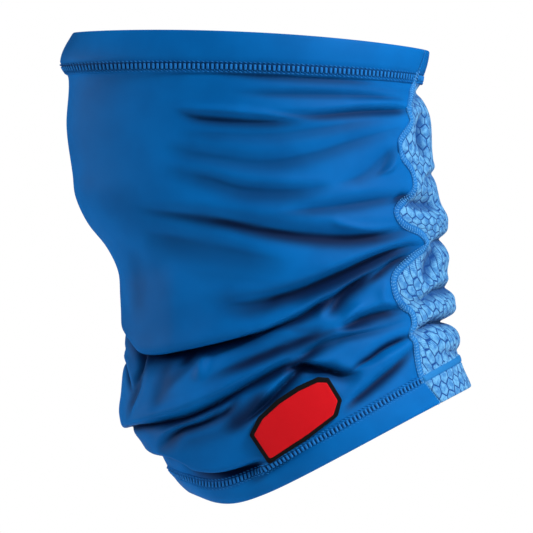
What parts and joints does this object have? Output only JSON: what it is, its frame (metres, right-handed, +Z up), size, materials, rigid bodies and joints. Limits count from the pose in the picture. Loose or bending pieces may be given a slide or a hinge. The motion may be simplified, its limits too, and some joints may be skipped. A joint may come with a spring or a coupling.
{
  "type": "cooling neck gaiter",
  "caption": "Stretch-knit tube worn from nose to neck base, smooth round the front, with a gathered textured panel at the nape, folded coverstitched hems and a small bare patch.",
  "frame": {"origin": "seat on the wearer's neck, on the tube's axis, midway between throat and nape", "axes": "+Z up, -Y is the wearer's front, +X is the wearer's left"},
  "size_m": [0.1445, 0.2416, 0.279],
  "materials": {
    "smooth_knit": "satin",
    "textured_knit": "matt, textured",
    "stitching": "matt",
    "patch_black": "matt",
    "patch_red": "satin"
  },
  "bodies": {
    "root": {"front_panel": "smooth_knit", "back_panel": "textured_knit", "top_hem_front": "smooth_knit", "top_hem_back": "smooth_knit", "bottom_hem_front": "smooth_knit", "bottom_hem_back": "textured_knit", "top_coverstitch_front": "stitching", "top_coverstitch_back": "stitching", "bottom_coverstitch_front": "stitching", "bottom_coverstitch_back": "stitching", "left_seam": "stitching", "right_seam": "stitching", "patch_border": "patch_black", "patch_face": "patch_red"}
  },
  "joints": []
}
